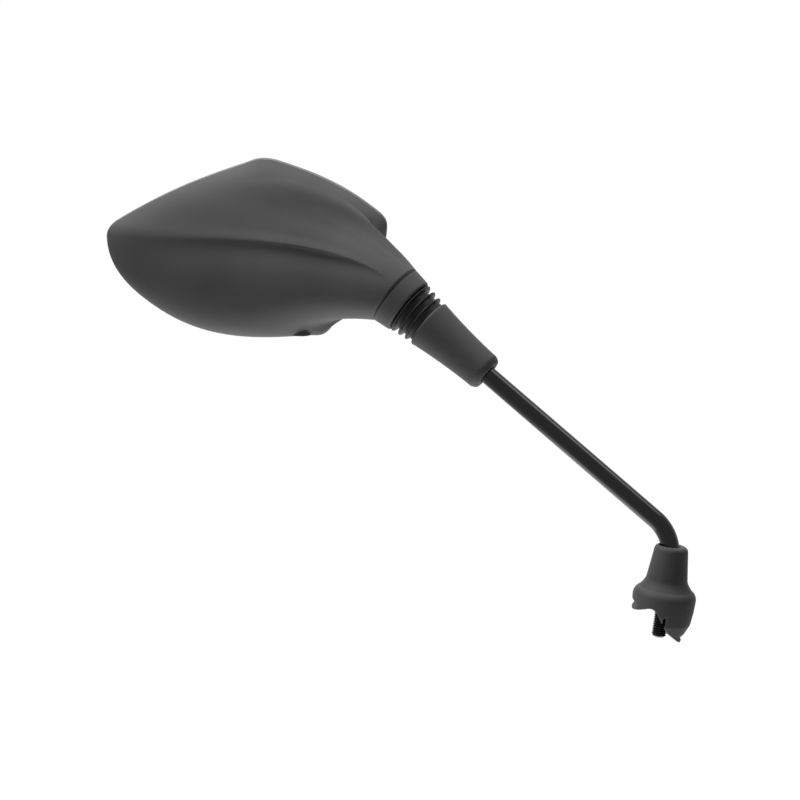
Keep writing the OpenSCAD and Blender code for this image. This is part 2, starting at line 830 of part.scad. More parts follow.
// A plate that follows the convex glass, inset from the rim's outline
module domed_plate(inset, top, thickness) {
  steps = 14;
  rings = [for (i = [0:steps]) plate_reach * i / steps];
  intersection() {
    rotate([90, 0, 0])
      linear_extrude(plate_room)
        polygon(rim_outline(inset));
    rotate([-90, 0, 0])
      rotate_extrude($fn = 96)
        polygon(concat(
          [for (r = rings) [r, top - sag(r, glass_radius)]],
          [for (i = [steps:-1:0]) [rings[i], top - thickness - sag(rings[i], glass_radius)]]
        ));
  }
}
// A post behind the holder, with four thin gussets
module holder_boss(p) {
  translate([p[0], boss_face - face_drop(p), p[1]]) {
    rotate([90, 0, 0])
      cylinder(h = post_length, d = boss_d, $fn = 28);
    for (turn = [0:90:270])
      rotate([0, turn, 0])
        hull()
          for (side = [[1, gusset_foot], [gusset_reach, gusset_head]])
            translate([boss_d / 2 - 2 * overlap, -post_length, -gusset_width / 2])
              cube([side[0], post_length - side[1], gusset_width]);
  }
}
module along_neck() {
  translate(seam_local)
    rotate([0, 0, neck_turn])
      rotate([0, neck_tip, 0])
        children();
}
recess_low = rim[9][1] * head_h;
recess_high = recess_low + 4.6;
recess_floor = 2.4;
recess_wall = 1.6;
recess_reach = 10;
lug_gap = 0.3;
lug_low = recess_high + recess_floor + lug_gap;
lug_root = holder_top - face_drop([rim_screw_side, lug_low]) - 0.75 * holder_thickness;
module housing() {
  color("#333336")
    at_head()
      difference() {
        union() {
          ring_solid(concat(outer_skin, [for (k = [len(inner_skin) - 1:-1:0]) inner_skin[k]]));
          intersection() {
            head_volume();
            union() {
              for (p = screw_places)
                holder_boss(p);
              along_neck()
                translate([0, 0, overlap])
                  cylinder(h = socket_length - overlap, r = socket_r + socket_wall, $fn = 48);
              translate([rim_screw_side, -rim_screw_depth, recess_low - recess_wall])
                cylinder(
                  h = recess_high + recess_floor - recess_low + recess_wall,
                  d = recess_d + 2 * recess_wall,
                  $fn = 28
                );
            }
          }
        }
        along_neck()
          translate([0, 0, -overlap])
            rotate(bore_turn)
              cylinder(h = socket_length + 4 * overlap, r = socket_r, $fn = 72);
        for (p = screw_places)
          translate([p[0], boss_face - face_drop(p) + overlap, p[1]])
            rotate([90, 0, 0])
              cylinder(h = screw_length + hole_room, d = screw_d + screw_clearance, $fn = 20);
        translate([rim_screw_side, -rim_screw_depth, recess_low - recess_reach])
          cylinder(h = recess_high - recess_low + recess_reach, d = recess_d, $fn = 32);
        translate([rim_screw_side, -rim_screw_depth, recess_low])
          cylinder(h = lug_low - recess_low, d = screw_d + screw_clearance, $fn = 20);
      }
}

// Glass, gasket, foam pad and holder
gasket_gap = 0.1;
glass_bite = 0.5;
gasket_inset = housing_wall + band_draft + gasket_gap;
glass_inset = gasket_inset + gasket_width - glass_bite;
gasket_lip = 0.4;
module glass_gasket() {
  color("#161617")
    at_head()
      difference() {
        translate([0, glass_top + gasket_lip, 0])
          rotate([90, 0, 0])
            linear_extrude(gasket_depth + gasket_lip)
              difference() {
                polygon(rim_outline(gasket_inset));
                polygon(rim_outline(gasket_inset + gasket_width));
              }
        domed_plate(glass_inset - glass_clearance, glass_top + seat_gap, glass_thickness + 2 * seat_gap);
      }
}
module glass() {
  color("#c9d6de")
    at_head()
      domed_plate(glass_inset, glass_top, glass_thickness);
}
module foam_pad() {
  color("#5b5c60")
    at_head()
      domed_plate(gasket_inset + gasket_width + glass_clearance, foam_top, foam_thickness);
}
module glass_holder() {
  lug_w = 6.6;
  lug_h = 5.2;
  pad_root = 1;
  color("#26272a")
    at_head()
      difference() {
        union() {
          domed_plate(housing_wall + holder_inset, holder_top, holder_thickness);
          for (p = screw_places)
            translate([p[0], holder_top - face_drop(p) - pad_root, p[1]])
              rotate([90, 0, 0])
                cylinder(h = head_sink + pad_floor - pad_root, d = pad_d);
          translate([rim_screw_side - lug_w / 2, -rim_screw_depth - lug_w / 2, lug_low])
            cube([lug_w, rim_screw_depth + lug_w / 2 + lug_root, lug_h]);
        }
        for (p = screw_places) {
          translate([p[0], 0, p[1]])
            rotate([90, 0, 0])
              cylinder(h = plate_room, d = screw_d + screw_clearance);
          translate([p[0], 0, p[1]])
            rotate([90, 0, 0])
              cylinder(h = head_sink - holder_top + face_drop(p), d = screw_head_d + screw_clearance);
        }
        translate([rim_screw_side, -rim_screw_depth, lug_low - overlap])
          cylinder(h = lug_h + 2 * overlap, d = screw_d + screw_clearance);
      }
}

// Screws: a flat head with a cross slot, and a plain shank
module screw(length) {
  slot = 0.7;
  slot_depth = 0.9;
  difference() {
    union() {
      cylinder(h = screw_head_h, d = screw_head_d);
      translate([0, 0, -length])
        cylinder(h = length + overlap, d = screw_d);
    }
    for (turn = [0, 90])
      rotate([0, 0, turn])
        translate([-screw_head_d / 3, -slot / 2, screw_head_h - slot_depth])
          cube([screw_head_d * 2 / 3, slot, slot_depth + overlap]);
  }
}
module holder_screw(i) {
  p = screw_places[i];
  color("#b4b6ba")
    at_head()
      translate([p[0], holder_top - face_drop(p) - head_sink + seat_gap, p[1]])
        rotate([-90, 0, 0])
          screw(screw_length);
}
module rim_screw() {
  color("#c2c4c8")
    at_head()
      translate([rim_screw_side, -rim_screw_depth, recess_high - seat_gap])
        rotate([180, 0, 0])
          screw(rim_screw_length);
}

stem();
ball();
lock_nut();
base_boot();
neck_boot();
lower_liner();
upper_liner();
neck_collar();
pressure_cup();
disc_spring(0);  // disc_spring_1
disc_spring(1);  // disc_spring_2
preload_nut();
housing();
glass_gasket();
glass();
foam_pad();
glass_holder();
holder_screw(0);  // holder_screw_1
holder_screw(1);  // holder_screw_2
holder_screw(2);  // holder_screw_3
rim_screw();
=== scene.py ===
import math

import bmesh
import bpy
import numpy as np
from mathutils import Matrix, Vector


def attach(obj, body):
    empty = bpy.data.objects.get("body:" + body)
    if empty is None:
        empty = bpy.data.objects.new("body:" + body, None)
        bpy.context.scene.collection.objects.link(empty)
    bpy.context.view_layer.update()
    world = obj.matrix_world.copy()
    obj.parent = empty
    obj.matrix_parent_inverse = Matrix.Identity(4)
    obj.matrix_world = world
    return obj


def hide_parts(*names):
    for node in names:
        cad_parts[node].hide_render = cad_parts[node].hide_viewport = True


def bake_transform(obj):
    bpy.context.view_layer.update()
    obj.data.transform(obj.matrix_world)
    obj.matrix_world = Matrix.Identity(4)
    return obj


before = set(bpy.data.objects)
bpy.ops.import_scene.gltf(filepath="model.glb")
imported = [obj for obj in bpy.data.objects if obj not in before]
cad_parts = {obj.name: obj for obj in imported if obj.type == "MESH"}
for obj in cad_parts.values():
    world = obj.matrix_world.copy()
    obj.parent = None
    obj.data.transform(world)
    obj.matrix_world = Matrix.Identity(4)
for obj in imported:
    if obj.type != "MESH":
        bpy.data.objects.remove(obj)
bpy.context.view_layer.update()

MM = 0.001

# Sizes shared with the CAD source, in millimetres and degrees
stem_d, bend_height, bend_radius = 10.0, 36.5, 23.0
stem_rise, stem_sweep, stem_length = 30.4, 17.8, 194.6
stud_d, stud_length, nut_height, thread_above_nut = 8.0, 20.0, 6.5, 4.0
spigot_length = 10.5
head_w, head_h, head_roll = 157.0, 101.0, 7.5
neck_side, neck_drop, neck_front = 85.5, 22.9, 29.0
neck_d, seam_height, collar_height = 35.5, 6.7, 9.9
rim_depth, band_draft, housing_wall = 7.0, 0.3, 2.4
crease_depth, crease_width, crease_reach = 6.5, 9.0, 140.0
collar_spigot_d, collar_fit = 25.0, 0.2
recess_d, rim_screw_side, rim_screw_depth = 7.0, 32.5, 12.0


def rad(a):
    return math.radians(a)


def unit(v):
    v = np.asarray(v, float)
    return v / np.linalg.norm(v)


stem_dir = np.array(
    [
        -math.cos(rad(stem_rise)) * math.cos(rad(stem_sweep)),
        math.cos(rad(stem_rise)) * math.sin(rad(stem_sweep)),
        math.sin(rad(stem_rise)),
    ]
)
bend_out = np.array([-math.cos(rad(stem_sweep)), math.sin(rad(stem_sweep)), 0.0])
ball_centre = np.array([0.0, 0.0, bend_height]) + stem_length * stem_dir


def matrix_of(x, y, z, origin):
    m = Matrix.Identity(4)
    for i in range(3):
        m[i][0], m[i][1], m[i][2], m[i][3] = x[i], y[i], z[i], origin[i]
    return m


ball_x = np.array(
    [
        -math.sin(rad(stem_rise)) * math.cos(rad(stem_sweep)),
        math.sin(rad(stem_rise)) * math.sin(rad(stem_sweep)),
        -math.cos(rad(stem_rise)),
    ]
)
ball_y = np.cross(stem_dir, ball_x)


def at_ball(points):
    """Points in the ball's frame, z along the stem towards the head, to the row frame."""
    p = np.asarray(points, float)
    return ball_centre + p[:, :1] * ball_x + p[:, 1:2] * ball_y + p[:, 2:3] * stem_dir


# ---------------------------------------------------------------- meshes
weld_distance = 1e-7  # metres


def add_mesh(name, points_mm, faces):
    mesh = bpy.data.meshes.new(name)
    pts = np.asarray(points_mm, float) * MM
    mesh.from_pydata([tuple(p) for p in pts], [], [tuple(f) for f in faces])
    mesh.validate()
    mesh.update()
    obj = bpy.data.objects.new(name, mesh)
    bpy.context.scene.collection.objects.link(obj)
    return obj


def shade(obj, angle):
    """Smooth faces, with the edges sharper than angle kept."""
    mesh = obj.data
    mesh.polygons.foreach_set("use_smooth", [True] * len(mesh.polygons))
    if "sharp_edge" in mesh.attributes:
        mesh.attributes.remove(mesh.attributes["sharp_edge"])
    normals = np.zeros(len(mesh.polygons) * 3)
    mesh.polygons.foreach_get("normal", normals)
    normals = normals.reshape(-1, 3)
    owner = {}
    for p in mesh.polygons:
        for key in p.edge_keys:
            owner.setdefault(key, []).append(p.index)
    limit = math.cos(rad(angle))
    sharp = np.zeros(len(mesh.edges), dtype=bool)
    for i, e in enumerate(mesh.edges):
        key = tuple(sorted(e.vertices))
        fs = owner.get(key, [])
        if len(fs) == 2 and float(normals[fs[0]] @ normals[fs[1]]) < limit:
            sharp[i] = True
    attribute = mesh.attributes.new("sharp_edge", "BOOLEAN", "EDGE")
    attribute.data.foreach_set("value", sharp)
    mesh.update()


def ring_faces(rows, columns, closed_rows=False):
    """Four-sided faces between rings of points that follow one another."""
    faces = []
    count = rows if closed_rows else rows - 1
    for k in range(count):
        for i in range(columns):
            a = k * columns + i
            b = k * columns + (i + 1) % columns
            c = ((k + 1) % rows) * columns + (i + 1) % columns
            d = ((k + 1) % rows) * columns + i
            faces.append((a, b, c, d))
    return faces


def lathe(name, profile, place, sides=96, smooth=35, closed=True):
    """A turned piece from rows of (radius, height); a closed profile makes a ring."""
    turn = np.arange(sides) * 2 * math.pi / sides
    points = np.concatenate(
        [
            np.stack([r * np.cos(turn), r * np.sin(turn), np.full(sides, z)], axis=1)
            for r, z in profile
        ]
    )
    faces = ring_faces(len(profile), sides, closed_rows=closed)
    return outward(add_mesh(name, place(points), faces), smooth)


def outward(obj, smooth=40):
    """Doubled points joined and every face turned outwards, then shaded."""
    bm = bmesh.new()
    bm.from_mesh(obj.data)
    bmesh.ops.remove_doubles(bm, verts=bm.verts, dist=weld_distance)
    bmesh.ops.recalc_face_normals(bm, faces=bm.faces)
    bm.to_mesh(obj.data)
    bm.free()
    shade(obj, smooth)
    return obj


def arc(cx, cz, r, start, stop, steps):
    """Points of a profile on a circle, from one angle to the other."""
    return [
        (cx + r * math.cos(rad(a)), cz + r * math.sin(rad(a)))
        for a in np.linspace(start, stop, steps + 1)
    ]


def apply_modifiers(obj):
    depsgraph = bpy.context.evaluated_depsgraph_get()
    mesh = bpy.data.meshes.new_from_object(obj.evaluated_get(depsgraph))
    obj.modifiers.clear()
    obj.data = mesh


# ---------------------------------------------------------------- materials
cloud, cloud_low, cloud_high = 18.0, 0.3, 0.7  # the broad noise, and the part of it that counts
grain_height = 0.00008  # metres


def new_material(name):
    m = bpy.data.materials.new(name)
    m.use_nodes = True
    m.node_tree.nodes.clear()
    return m, m.node_tree.nodes, m.node_tree.links


def principled(name, base, rough, metallic=0.0, spread=0.15, grain=900.0, bump=0.0,
               specular=0.5, rough_spread=0.06):
    """A finish whose colour and roughness vary softly, with a fine grain in the surface."""
    m, nodes, links = new_material(name)
    out = nodes.new("ShaderNodeOutputMaterial")
    bsdf = nodes.new("ShaderNodeBsdfPrincipled")
    links.new(bsdf.outputs["BSDF"], out.inputs["Surface"])
    coord = nodes.new("ShaderNodeTexCoord")
    broad = nodes.new("ShaderNodeTexNoise")
    broad.inputs["Scale"].default_value = cloud
    broad.inputs["Detail"].default_value = 3.0
    links.new(coord.outputs["Object"], broad.inputs["Vector"])
    fine = nodes.new("ShaderNodeTexNoise")
    fine.inputs["Scale"].default_value = grain
    fine.inputs["Detail"].default_value = 2.0
    links.new(coord.outputs["Object"], fine.inputs["Vector"])
    ramp = nodes.new("ShaderNodeValToRGB")
    low = [c * (1 - spread) for c in base]
    high = [min(1.0, c * (1 + spread)) for c in base]
    ramp.color_ramp.elements[0].position = cloud_low
    ramp.color_ramp.elements[0].color = (*low, 1.0)
    ramp.color_ramp.elements[1].position = cloud_high
    ramp.color_ramp.elements[1].color = (*high, 1.0)
    links.new(broad.outputs["Fac"], ramp.inputs["Fac"])
    links.new(ramp.outputs["Color"], bsdf.inputs["Base Color"])
    rough_range = nodes.new("ShaderNodeMapRange")
    rough_range.inputs["From Min"].default_value = cloud_low
    rough_range.inputs["From Max"].default_value = cloud_high
    rough_range.inputs["To Min"].default_value = max(0.02, rough - rough_spread)
    rough_range.inputs["To Max"].default_value = min(1.0, rough + rough_spread)
    links.new(broad.outputs["Fac"], rough_range.inputs["Value"])
    links.new(rough_range.outputs["Result"], bsdf.inputs["Roughness"])
    bsdf.inputs["Metallic"].default_value = metallic
    bsdf.inputs["Specular IOR Level"].default_value = specular
    if bump > 0:
        grained = nodes.new("ShaderNodeBump")
        grained.inputs["Strength"].default_value = bump
        grained.inputs["Distance"].default_value = grain_height
        links.new(fine.outputs["Fac"], grained.inputs["Height"])
        links.new(grained.outputs["Normal"], bsdf.inputs["Normal"])
    return m


plastic = principled("head_plastic", (0.080, 0.080, 0.082), 0.58, grain=2600, bump=0.25,
                     specular=0.12)
rubber = principled("boot_rubber", (0.068, 0.068, 0.070), 0.60, grain=1800, bump=0.2,
                    specular=0.12)
# The bellows are one moulding with the sleeve; their darker copy of the rubber is painted shade,
# so that the grooves come out as black as deep shade. The bellows are one moulding with the
# sleeve, and darker so that the grooves are as black as the photo's
bellows_shaded_rubber = principled("bellows_shaded_rubber", (0.024, 0.024, 0.025), 0.45, grain=1800, bump=0.1,
                            specular=0.10)
enamel = principled("stem_enamel", (0.004, 0.004, 0.0045), 0.16, grain=900, bump=0.01,
                    specular=0.22, rough_spread=0.02)
steel = principled("bright_steel", (0.60, 0.60, 0.62), 0.32, metallic=1.0, grain=1500, bump=0.08)
zinc = principled("dark_steel", (0.16, 0.16, 0.165), 0.42, metallic=1.0, grain=1500, bump=0.1)
nylon = principled("nylon", (0.72, 0.71, 0.66), 0.5, grain=1200, bump=0.05)
foam = principled("foam", (0.09, 0.09, 0.10), 0.9, grain=2400, bump=0.5)
holder_plastic = principled("holder_plastic", (0.022, 0.022, 0.024), 0.45, grain=1500, bump=0.1)
mirror = principled("mirror_glass", (0.86, 0.88, 0.90), 0.02, metallic=1.0,
                    rough_spread=0.004, spread=0.01)


def paint(obj, material):
    obj.data.materials.clear()
    obj.data.materials.append(material)


finish = {
    "stem": (enamel, "stem_enamel"),
    "ball": (steel, "bright_steel"),
    "lock_nut": (zinc, "dark_steel"),
    "base_boot": (rubber, "boot_rubber"),
    "neck_boot": (rubber, "boot_rubber"),
    "lower_liner": (nylon, "nylon"),
    "upper_liner": (nylon, "nylon"),
    "neck_collar": (plastic, "head_plastic"),
    "pressure_cup": (steel, "bright_steel"),
    "disc_spring_1": (steel, "bright_steel"),
    "disc_spring_2": (steel, "bright_steel"),
    "preload_nut": (zinc, "dark_steel"),
    "housing": (plastic, "head_plastic"),
    "glass_gasket": (rubber, "boot_rubber"),
    "glass": (mirror, "mirror_glass"),
    "foam_pad": (foam, "foam"),
    "glass_holder": (holder_plastic, "holder_plastic"),
    "holder_screw_1": (steel, "bright_steel"),
    "holder_screw_2": (steel, "bright_steel"),
    "holder_screw_3": (steel, "bright_steel"),
    "rim_screw": (steel, "bright_steel"),
}
node_edge = 28  # an edge of a CAD node sharper than this stays sharp
for node_name, (material, slot_name) in finish.items():
    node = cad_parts[node_name]
    paint(node, material)
    shade(node, node_edge)

# ---------------------------------------------------------------- stem
# One sweep: the chamfered end, the threaded stud, the bend, the rod and the ball's spigot
bend_angle = 90.0 - stem_rise
bend_start = bend_height - bend_radius * math.tan(rad(bend_angle / 2))
thread_top = nut_height + thread_above_nut
thread_pitch, thread_depth, stud_chamfer = 1.25, 0.62, 1.0
thread_slope, thread_floor = 1.25, 0.1  # the flank's rise, cut off at the root and the crest
thread_step, stem_edge = 0.1, 0.4
spigot_r, spigot_in_ball, closing_r = 4.0, 2.0, 0.02
stem_sides, bend_rows, rod_rows = 64, 40, 24
turn = np.arange(stem_sides) * 2 * math.pi / stem_sides
stem_side = np.cross([0, 0, 1], bend_out)


def bend_place(angle):
    a = rad(angle)
    return np.array([0, 0, bend_start]) + bend_radius * (
        (1 - math.cos(a)) * bend_out + math.sin(a) * np.array([0, 0, 1.0])
    )


def stem_row(centre, heading, radius):
    """A ring round the stem; radius is one number or one for each side."""
    up = np.cross(heading, stem_side)
    ring = np.cos(turn)[:, None] * stem_side + np.sin(turn)[:, None] * up
    return np.asarray(centre) + np.reshape(radius, (-1, 1)) * ring


def thread_radius(z):
    """The thread's flanks as a helix, running out into the chamfer at the tip."""
    phase = (z / thread_pitch - turn / (2 * math.pi)) % 1.0
    flank = np.clip(thread_slope * (1 - np.abs(2 * phase - 1)) - thread_floor, 0, 1)
    r = stud_d / 2 - thread_depth + thread_depth * flank
    return np.minimum(r, stud_d / 2 - stud_chamfer + (z + stud_length))


def stem_rows():
    z_axis = np.array([0, 0, 1.0])
    rows = [stem_row([0, 0, -stud_length], z_axis, closing_r)]
    for z in np.arange(-stud_length, 0.0, thread_step):
        rows.append(stem_row([0, 0, z], z_axis, thread_radius(z)))
    for z in (0.0, nut_height):
        rows.append(stem_row([0, 0, z], z_axis, stud_d / 2 - thread_depth))
    for z in np.arange(nut_height + thread_step, thread_top, thread_step):
        rows.append(stem_row([0, 0, z], z_axis, thread_radius(z)))
    rows.append(stem_row([0, 0, thread_top], z_axis, stem_d / 2 - stem_edge))
    rows.append(stem_row([0, 0, thread_top + stem_edge], z_axis, stem_d / 2))
    for angle in np.linspace(0, bend_angle, bend_rows):
        heading = math.sin(rad(angle)) * bend_out + math.cos(rad(angle)) * z_axis
        rows.append(stem_row(bend_place(angle), heading, stem_d / 2))
    last = ball_centre - spigot_length * stem_dir
    start = bend_place(bend_angle)
    for t in np.linspace(0, 1, rod_rows)[1:]:
        rows.append(stem_row(start + t * (last - start), stem_dir, stem_d / 2))
    end = spigot_length + spigot_in_ball
    for along, radius in ((0.0, spigot_r), (end, spigot_r), (end, closing_r)):
        rows.append(stem_row(last + along * stem_dir, stem_dir, radius))
    return rows


rows = stem_rows()
stem_faces = ring_faces(len(rows), stem_sides)
stem_faces.append(tuple(range(stem_sides)))
stem_faces.append(tuple((len(rows) - 1) * stem_sides + i for i in reversed(range(stem_sides))))
stem = outward(add_mesh("stem_rod", np.concatenate(rows), stem_faces))
paint(stem, enamel)
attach(stem, "stem")
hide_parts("stem")

# ---------------------------------------------------------------- housing
# The CAD housing's skin again from the same rim, in finer steps. Each row: place across
# and up as a share of the head, heading, angle round the neck, how far the skin leaves the
# rim, its lean there, how far it meets the neck along its axis, its flare there
rim = np.array(
    [
        [-0.486, 0.074, 90, 22, 20, 0.68, 56, 0.00],
        [-0.422, 0.182, 30, 34, 20, 0.70, 58, 0.00],
        [0.000, 0.469, 18, 62, 18, 0.60, 58, 0.00],
        [0.072, 0.499, 0, 68, 19, 0.54, 56, 0.00],
        [0.135, 0.482, -18, 75, 20, 0.46, 52, 0.00],
        [0.464, 0.226, -38, 102, 24, 0.24, 34, 0.22],
        [0.512, 0.126, -90, 114, 22, 0.06, 20, 0.36],
        [0.441, -0.201, -112, 150, 4, 0.00, 7, 0.00],
        [0.332, -0.396, -120, 196, 6, 0.00, 8, 0.40],
        [0.262, -0.484, -180, 238, 14, 0.00, 24, 0.60],
        [0.066, -0.494, -180, 276, 24, 0.05, 34, 0.70],
        [-0.332, -0.305, -216, 338, 26, 0.20, 44, 0.20],
    ]
)
rim_handle, rim_points, skin_rows, row_growth = 0.37, 384, 84, 1.25
rim_chord = 0.08  # how far the CAD rim's chords lie inside its curve
# The share of the way to the neck where the crease is deepest: 0.7 in the CAD source
crease_full, crease_softness = 0.76, 1.2
# Smoothing round the loop, in columns; the flank is the part at the upper right
shape_blur, lean_blur, wall_blur, flank_blur = 6.0, 10.0, 6.0, 15.0
flank_angle, flank_width, flank_peak, flank_ease = 86.0, 18.0, 2.2, 5.0
rim_edge, rim_bevel, shell_edge = 0.35, 0.1, 30
neck_edge, neck_ease = 0.9, 0.6
seam_local = np.array([neck_side, -neck_front, -neck_drop])


def rolled(v, angle):
    """Vectors turned about Y, the line of sight, from one upright to the other."""
    v = np.asarray(v, float)
    c, s = math.cos(rad(angle)), math.sin(rad(angle))
    return np.stack([v[..., 0] * c - v[..., 2] * s, v[..., 1], v[..., 0] * s + v[..., 2] * c], -1)


neck_dir = rolled(stem_dir, -head_roll)
neck_face = unit(np.array([0, -1, 0]) + neck_dir[1] * neck_dir)
neck_across = np.cross(neck_dir, neck_face)
head_origin = ball_centre + seam_height * stem_dir - rolled(seam_local, head_roll)


def at_head(points):
    return rolled(points, head_roll) + head_origin


def bezier(t, a, b, c, d):
    return (1 - t) ** 3 * a + 3 * (1 - t) ** 2 * t * b + 3 * (1 - t) * t * t * c + t**3 * d


def rim_loop():
    """Points along the rim with the wall's shape at each, softly blended between rows."""
    place = rim[:, :2] * [head_w, head_h]
    heading = np.stack([np.cos(np.radians(rim[:, 2])), np.sin(np.radians(rim[:, 2]))], 1)
    shape = rim[:, 3:8].copy()
    after = np.roll(shape, -1, 0)
    after[-1, 0] += 360
    span = np.linalg.norm(np.roll(place, -1, 0) - place, axis=1)
    points, shapes = [], []
    for i in range(len(rim)):
        j = (i + 1) % len(rim)
        h = rim_handle * span[i]
        steps = max(3, round(span[i] / span.sum() * rim_points))
        for s in range(steps):
            t = s / steps
            points.append(
                bezier(t, place[i], place[i] + h * heading[i], place[j] - h * heading[j], place[j])
            )
            eased = 0.5 * t + 0.5 * t * t * (3 - 2 * t)
            shapes.append(shape[i] + eased * (after[i] - shape[i]))
    return np.array(points), np.array(shapes)


def blurred(values, width, turn=0.0):
    """Values smoothed round the loop, so that no row leaves a fold; the first column adds turn."""
    count, wide = values.shape
    reach = np.arange(-int(3 * width), int(3 * width) + 1)
    weight = np.exp(-0.5 * (reach / width) ** 2)
    weight /= weight.sum()
    step = np.zeros(wide)
    step[0] = turn
    turns = np.concatenate([values - step, values, values + step])
    return np.stack(
        [np.convolve(turns[:, c], weight, mode="same")[count : 2 * count] for c in range(wide)], 1
    )


loop, shape = rim_loop()
shape = blurred(shape, shape_blur, turn=360)
columns = len(loop)
tangent = np.roll(loop, -1, 0) - np.roll(loop, 1, 0)
tangent /= np.linalg.norm(tangent, axis=1, keepdims=True)
inward = np.stack([tangent[:, 1], -tangent[:, 0]], 1)
loop = loop + rim_chord * inward
neck_angle, rim_reach, lean, neck_reach, flare = np.split(shape, 5, axis=1)
radial = (
    np.cos(np.radians(neck_angle)) * neck_face + np.sin(np.radians(neck_angle)) * neck_across
)


def in_head(p, y=0.0):
    """Points of the rim's plane in the head's frame, at depth y."""
    return np.stack([p[:, 0], np.full(len(p), y), p[:, 1]], 1)


def crease_step(t):
    """How far the skin steps back below the crease, at a share t of the way to the neck."""
    over = (neck_angle[:, 0] - rim[0, 3] + 540) % 360 - 180
    below = (np.sqrt(over**2 + crease_softness**2) - over) / 2
    below = np.where(np.abs(over) > 90, np.maximum(-over, 0), below)
    along = min(t / crease_full, 1) * min((1 - t) / (1 - crease_full), 1)
    fade = np.clip(1 - below / crease_reach, 0, 1)
    return crease_depth * along**2 * (3 - 2 * along) * (1 - np.exp(-below / crease_width)) * fade


def neck_ring(radius, height):
    """A ring round the neck's axis, height above the seam."""
    return seam_local + radius * radial + height * neck_dir


flank = np.clip(flank_peak - np.abs(neck_angle - flank_angle) / flank_width, 0, 1)
skin_a = in_head(loop + band_draft * inward, -rim_depth)
soft_inward = in_head(blurred(inward, lean_blur))
skin_b = skin_a + rim_reach * (soft_inward * lean - np.sqrt(1 - lean**2) * [0, 1, 0])
skin_b = blurred(skin_b, lean_blur)
skin_d = neck_ring(neck_d / 2, 0)
skin_c = skin_d + neck_reach * (neck_dir + flare * radial)
outer = [
    in_head(loop + housing_wall / 2 * inward),
    in_head(loop + rim_edge * inward),
    in_head(loop + rim_bevel * inward, -rim_bevel),
    in_head(loop, -rim_edge),
]
outer += [in_head(loop + band_draft * k / 4 * inward, -rim_depth * k / 4) for k in (1, 2, 3)]
rim_rows = len(outer)
for k in range(skin_rows + 1):
    t = (k / skin_rows) ** row_growth
    row = bezier(t, skin_a, skin_b, skin_c, skin_d)
    ease = min(1, flank_ease * t, flank_ease * (1 - t))
    row += flank * ease * (blurred(row, flank_blur) - row)
    row[:, 1] += crease_step(t)
    outer.append(row)
# The skin stops short of the seam and rounds off into the neck's end face
outer[-1] = neck_ring(neck_d / 2, 0) + neck_ease * (outer[-2] - outer[-1])
outer.append(neck_ring(neck_d / 2 - neck_edge, 0))
skin = np.array(outer)


def skin_normal(k):
    """The way to the inner skin, softened where a tight corner would fold it."""
    across = np.roll(skin[k], -1, 0) - np.roll(skin[k], 1, 0)
    down = skin[min(k + 1, len(skin) - 1)] - skin[max(k - 1, 0)]
    n = np.cross(across, down)
    return blurred(n / np.linalg.norm(n, axis=1, keepdims=True), wall_blur)


# Behind the seam: the collar's socket, the inner skin and the inside of the rim
socket_r = (collar_spigot_d + collar_fit) / 2
socket_top, socket_wall, socket_root, socket_bevel = 9.5, 1.8, 2.5, 0.3
inner_end, inner_step = 0.86, 3
rows = list(outer)
rows += [neck_ring(socket_r + socket_bevel, 0), neck_ring(socket_r, socket_bevel)]
rows += [neck_ring(socket_r, socket_top)]
rows += [neck_ring(socket_r + socket_wall, height) for height in (socket_top, socket_root)]
inner_rows = range(rim_rows + 2, rim_rows + int(inner_end * skin_rows), inner_step)
rows += [skin[k] + housing_wall * skin_normal(k) for k in reversed(inner_rows)]
rows += [in_head(loop + housing_wall * inward, depth) for depth in (-rim_depth, -rim_edge)]
shell_faces = ring_faces(len(rows), columns, closed_rows=True)
shell = outward(add_mesh("head_shell", at_head(np.concatenate(rows)), shell_faces), shell_edge)

# The recess of the lower screw: a hole through the skin, and a cup behind it
recess_height, recess_floor, recess_wall, recess_reach = 4.6, 2.4, 1.6, 10.0
cup_start, cup_hole_r, axis_r, recess_sides = 1.3, 2.0, 0.01, 48
recess_low = rim[9, 1] * head_h
recess_high = recess_low + recess_height
cup_r = recess_d / 2 + recess_wall


def at_recess(points):
    p = np.asarray(points, float)
    return at_head(p + [rim_screw_side, -rim_screw_depth, 0])


cutter = lathe(
    "recess_cutter",
    [(axis_r, recess_low - recess_reach), (recess_d / 2, recess_low - recess_reach),
     (recess_d / 2, recess_high), (axis_r, recess_high)],
    at_recess,
    sides=recess_sides,
    closed=False,
)
cup = lathe(
    "recess_cup",
    [(recess_d / 2, recess_low + cup_start), (cup_r, recess_low + cup_start),
     (cup_r, recess_high + recess_floor), (cup_hole_r, recess_high + recess_floor),
     (cup_hole_r, recess_high), (recess_d / 2, recess_high)],
    at_recess,
    sides=recess_sides,
)


cut = shell.modifiers.new("recess", "BOOLEAN")
cut.operation = "DIFFERENCE"
cut.solver = "EXACT"
cut.object = cutter
apply_modifiers(shell)
bpy.data.objects.remove(cutter)
shade(shell, shell_edge)
for piece in (shell, cup):
    paint(piece, plastic)
    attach(piece, "head")
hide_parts("housing")

# ---------------------------------------------------------------- base boot
# The CAD boot's own shape, with the soft edges that rubber has
boot_voxel, boot_smoothing, boot_softness, boot_edge = 0.40, 0.5, 9, 80
cad_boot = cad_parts["base_boot"]
bpy.context.view_layer.update()
boot_mesh = cad_boot.data.copy()
boot_mesh.transform(cad_boot.matrix_world)
boot = bpy.data.objects.new("boot_skin", boot_mesh)
bpy.context.scene.collection.objects.link(boot)
outward(boot)
remesh = boot.modifiers.new("remesh", "REMESH")
remesh.mode = "VOXEL"
remesh.voxel_size = boot_voxel * MM
soften = boot.modifiers.new("soften", "SMOOTH")
soften.factor = boot_smoothing
soften.iterations = boot_softness
apply_modifiers(boot)
shade(boot, boot_edge)
paint(boot, rubber)
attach(boot, "stem")
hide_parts("base_boot")
